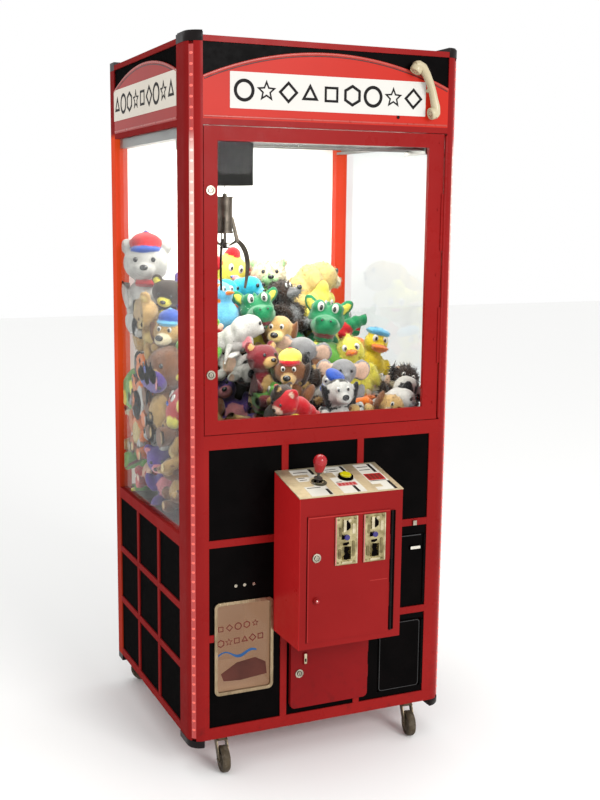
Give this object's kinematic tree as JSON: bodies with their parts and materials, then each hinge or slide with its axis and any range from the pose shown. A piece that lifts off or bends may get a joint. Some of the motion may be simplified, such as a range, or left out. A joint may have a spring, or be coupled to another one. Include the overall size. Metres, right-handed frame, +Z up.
{
  "type": "claw crane machine",
  "caption": "Tall glazed amusement cabinet on castors with a travelling claw over plush prizes, a coin and joystick box and a prize chute with a swing flap.",
  "frame": {"origin": "centre of the overall footprint at floor level, midway between the front of the control box and the back of the cabinet", "axes": "+X to the right seen from the front, +Y to the back, +Z up"},
  "size_m": [0.816, 0.9308, 2.032],
  "materials": {
    "red_paint": "gloss",
    "red_lens": "translucent strip",
    "black_plastic": "satin",
    "black_panel": "gloss laminate",
    "marquee_acrylic": "printed acrylic",
    "cream_plastic": "moulded",
    "clear_glass": "clear",
    "white_panel": "satin",
    "roof_sheet": "satin",
    "grey_steel": "satin",
    "bronze_metal": "brushed",
    "smoked_clear": "smoked",
    "brass_plate": "worn",
    "bright_steel": "polished",
    "blue_plastic": "moulded",
    "red_plastic": "moulded",
    "yellow_plastic": "moulded",
    "black_metal": "satin",
    "claw_metal": "lacquered",
    "cord": "braided",
    "plush": "pile",
    "castor_metal": "zinc",
    "grey_rubber": "grey"
  },
  "bodies": {
    "cabinet": {"corner_posts": "red_paint", "post_lights": "red_lens", "post_caps": "black_plastic", "frame_front": "red_paint", "frame_sides": "red_paint", "frame_rear": "red_paint", "black_panels": "black_panel", "cut_panels": "black_panel", "marquee_panels": "marquee_acrylic", "handset": "cream_plastic", "side_glass": "clear_glass", "rear_wall": "white_panel", "roof_panel": "roof_sheet", "light_fixture": "white_panel", "toy_deck": "grey_steel", "chute_guard": "clear_glass", "prize_bin": "grey_steel", "prize_door_frame": "bronze_metal", "control_box": "red_paint", "control_panel": "bronze_metal", "gantry_rails": "grey_steel", "electronics": "grey_steel", "screws": "bright_steel", "cash_box": "grey_steel", "prizes_front": "plush", "prizes_back": "plush"},
    "glass_door": {"door_frame": "red_paint", "door_glass": "clear_glass"},
    "lock_upper": {"door_lock_upper": "bright_steel"},
    "lock_lower": {"door_lock_lower": "bright_steel"},
    "coin_door": {"coin_door": "red_paint", "coin_plates": "brass_plate"},
    "reject_left": {"reject_button_left": "blue_plastic"},
    "reject_right": {"reject_button_right": "blue_plastic"},
    "coin_lock": {"coin_lock": "bright_steel"},
    "cash_door": {"cash_door": "red_paint"},
    "cash_lock": {"cash_lock": "bright_steel"},
    "prize_flap": {"prize_flap": "smoked_clear"},
    "ticket_door": {"ticket_door": "black_panel"},
    "access_door": {"access_door": "black_panel"},
    "gimbal": {"joystick_gimbal": "black_plastic"},
    "joystick": {"joystick": "red_plastic"},
    "drop_button": {"drop_button": "yellow_plastic"},
    "bridge": {"bridge": "grey_steel"},
    "trolley": {"trolley": "black_metal"},
    "spool": {"spool": "grey_steel"},
    "claw": {"claw_body": "claw_metal", "hoist_string": "cord"},
    "plunger": {"plunger": "black_metal"},
    "finger_1": {"finger_1": "black_metal"},
    "finger_2": {"finger_2": "black_metal"},
    "finger_3": {"finger_3": "black_metal"},
    "castor_1": {"castor_fork_1": "castor_metal"},
    "wheel_1": {"castor_wheel_1": "grey_rubber"},
    "castor_2": {"castor_fork_2": "castor_metal"},
    "wheel_2": {"castor_wheel_2": "grey_rubber"},
    "castor_3": {"castor_fork_3": "castor_metal"},
    "wheel_3": {"castor_wheel_3": "grey_rubber"},
    "castor_4": {"castor_fork_4": "castor_metal"},
    "wheel_4": {"castor_wheel_4": "grey_rubber"}
  },
  "joints": [
    {"name": "door_hinge", "type": "hinge", "parent": "cabinet", "child": "glass_door", "pos_m": [0.362, -0.284, 1.385], "axis": [0, 0, 1], "range_deg": [0, 110]},
    {"name": "lock_upper_turn", "type": "hinge", "parent": "glass_door", "child": "lock_upper", "pos_m": [-0.346, -0.281, 1.63], "axis": [0, -1, 0], "range_deg": [0, 90]},
    {"name": "lock_lower_turn", "type": "hinge", "parent": "glass_door", "child": "lock_lower", "pos_m": [-0.346, -0.281, 1.144], "axis": [0, -1, 0], "range_deg": [0, 90]},
    {"name": "coin_door_hinge", "type": "hinge", "parent": "cabinet", "child": "coin_door", "pos_m": [0.12, -0.455, 0.595], "axis": [0, 0, 1], "range_deg": [0, 105]},
    {"name": "reject_left_press", "type": "slide", "parent": "coin_door", "child": "reject_left", "axis": [0, 1, 0], "range_m": [0, 0.003], "stiffness_N_per_m": 300},
    {"name": "reject_right_press", "type": "slide", "parent": "coin_door", "child": "reject_right", "axis": [0, 1, 0], "range_m": [0, 0.003], "stiffness_N_per_m": 300},
    {"name": "coin_lock_turn", "type": "hinge", "parent": "coin_door", "child": "coin_lock", "pos_m": [-0.109, -0.454, 0.659], "axis": [0, -1, 0], "range_deg": [0, 90]},
    {"name": "cash_door_hinge", "type": "hinge", "parent": "cabinet", "child": "cash_door", "pos_m": [0.143, -0.284, 0.275], "axis": [0, 0, 1], "range_deg": [0, 105]},
    {"name": "cash_lock_turn", "type": "hinge", "parent": "cash_door", "child": "cash_lock", "pos_m": [-0.083, -0.295, 0.267], "axis": [0, -1, 0], "range_deg": [0, 90]},
    {"name": "prize_flap_swing", "type": "hinge", "parent": "cabinet", "child": "prize_flap", "pos_m": [-0.248, -0.269, 0.492], "axis": [1, 0, 0], "range_deg": [0, 60]},
    {"name": "ticket_door_hinge", "type": "hinge", "parent": "cabinet", "child": "ticket_door", "pos_m": [0.328, -0.2806, 0.528], "axis": [0, 0, 1], "range_deg": [0, 105]},
    {"name": "access_door_hinge", "type": "hinge", "parent": "cabinet", "child": "access_door", "pos_m": [0.328, -0.2806, 0.265], "axis": [0, 0, 1], "range_deg": [0, 105]},
    {"name": "gimbal_tilt", "type": "hinge", "parent": "cabinet", "child": "gimbal", "pos_m": [-0.066, -0.36084, 0.82106], "axis": [1, 0, 0], "range_deg": [-12, 12], "stiffness_Nm_per_rad": 0.6},
    {"name": "joystick_tilt", "type": "hinge", "parent": "gimbal", "child": "joystick", "pos_m": [-0.066, -0.36084, 0.82106], "axis": [0, 0.9747, 0.2236], "range_deg": [-12, 12], "stiffness_Nm_per_rad": 0.6},
    {"name": "drop_button_press", "type": "slide", "parent": "cabinet", "child": "drop_button", "axis": [0, 0.2236, -0.9747], "range_m": [0, 0.003], "stiffness_N_per_m": 400},
    {"name": "bridge_travel", "type": "slide", "parent": "cabinet", "child": "bridge", "axis": [0, -1, 0], "range_m": [-0.35, 0]},
    {"name": "trolley_travel", "type": "slide", "parent": "bridge", "child": "trolley", "axis": [-1, 0, 0], "range_m": [-0.47, 0]},
    {"name": "hoist", "type": "slide", "parent": "trolley", "child": "claw", "axis": [0, 0, -1], "range_m": [0, 0.42], "deforming": ["hoist_string"]},
    {"name": "spool_turn", "type": "hinge", "parent": "trolley", "child": "spool", "pos_m": [-0.245, -0.1038, 1.695], "axis": [1, 0, 0], "continuous": true},
    {"name": "finger_1_swing", "type": "hinge", "parent": "claw", "child": "finger_1", "pos_m": [-0.209, -0.121, 1.496], "axis": [0, 1, 0], "range_deg": [-10, 24]},
    {"name": "finger_2_swing", "type": "hinge", "parent": "claw", "child": "finger_2", "pos_m": [-0.263, -0.08982, 1.496], "axis": [-0.866, -0.5, 0], "range_deg": [-10, 24]},
    {"name": "finger_3_swing", "type": "hinge", "parent": "claw", "child": "finger_3", "pos_m": [-0.263, -0.15218, 1.496], "axis": [0.866, -0.5, 0], "range_deg": [-10, 24]},
    {"name": "plunger_lift", "type": "slide", "parent": "claw", "child": "plunger", "axis": [0, 0, 1], "range_m": [-0.006, 0.013]},
    {"name": "castor_1_swivel", "type": "hinge", "parent": "cabinet", "child": "castor_1", "pos_m": [-0.304, -0.241, 0.097], "axis": [0, 0, 1], "continuous": true},
    {"name": "wheel_1_roll", "type": "hinge", "parent": "castor_1", "child": "wheel_1", "pos_m": [-0.30623, -0.27292, 0.0375], "axis": [0.9976, -0.0698, 0], "continuous": true},
    {"name": "castor_2_swivel", "type": "hinge", "parent": "cabinet", "child": "castor_2", "pos_m": [0.304, -0.241, 0.097], "axis": [0, 0, 1], "continuous": true},
    {"name": "wheel_2_roll", "type": "hinge", "parent": "castor_2", "child": "wheel_2", "pos_m": [0.29844, -0.27251, 0.0375], "axis": [0.9848, -0.1736, 0], "continuous": true},
    {"name": "castor_3_swivel", "type": "hinge", "parent": "cabinet", "child": "castor_3", "pos_m": [0.304, 0.424, 0.097], "axis": [0, 0, 1], "continuous": true},
    {"name": "wheel_3_roll", "type": "hinge", "parent": "castor_3", "child": "wheel_3", "pos_m": [0.33171, 0.44, 0.0375], "axis": [-0.5, 0.866, 0], "continuous": true},
    {"name": "castor_4_swivel", "type": "hinge", "parent": "cabinet", "child": "castor_4", "pos_m": [-0.304, 0.424, 0.097], "axis": [0, 0, 1], "continuous": true},
    {"name": "wheel_4_roll", "type": "hinge", "parent": "castor_4", "child": "wheel_4", "pos_m": [-0.33171, 0.44, 0.0375], "axis": [-0.5, -0.866, 0], "continuous": true}
  ],
  "couplings": [
    {"joint": "spool_turn", "follows": "hoist", "rad_per_m": 58.139},
    {"joint": "finger_2_swing", "follows": "finger_1_swing", "ratio": 1},
    {"joint": "finger_3_swing", "follows": "finger_1_swing", "ratio": 1},
    {"joint": "plunger_lift", "follows": "finger_1_swing", "m_per_rad": 0.0246}
  ]
}
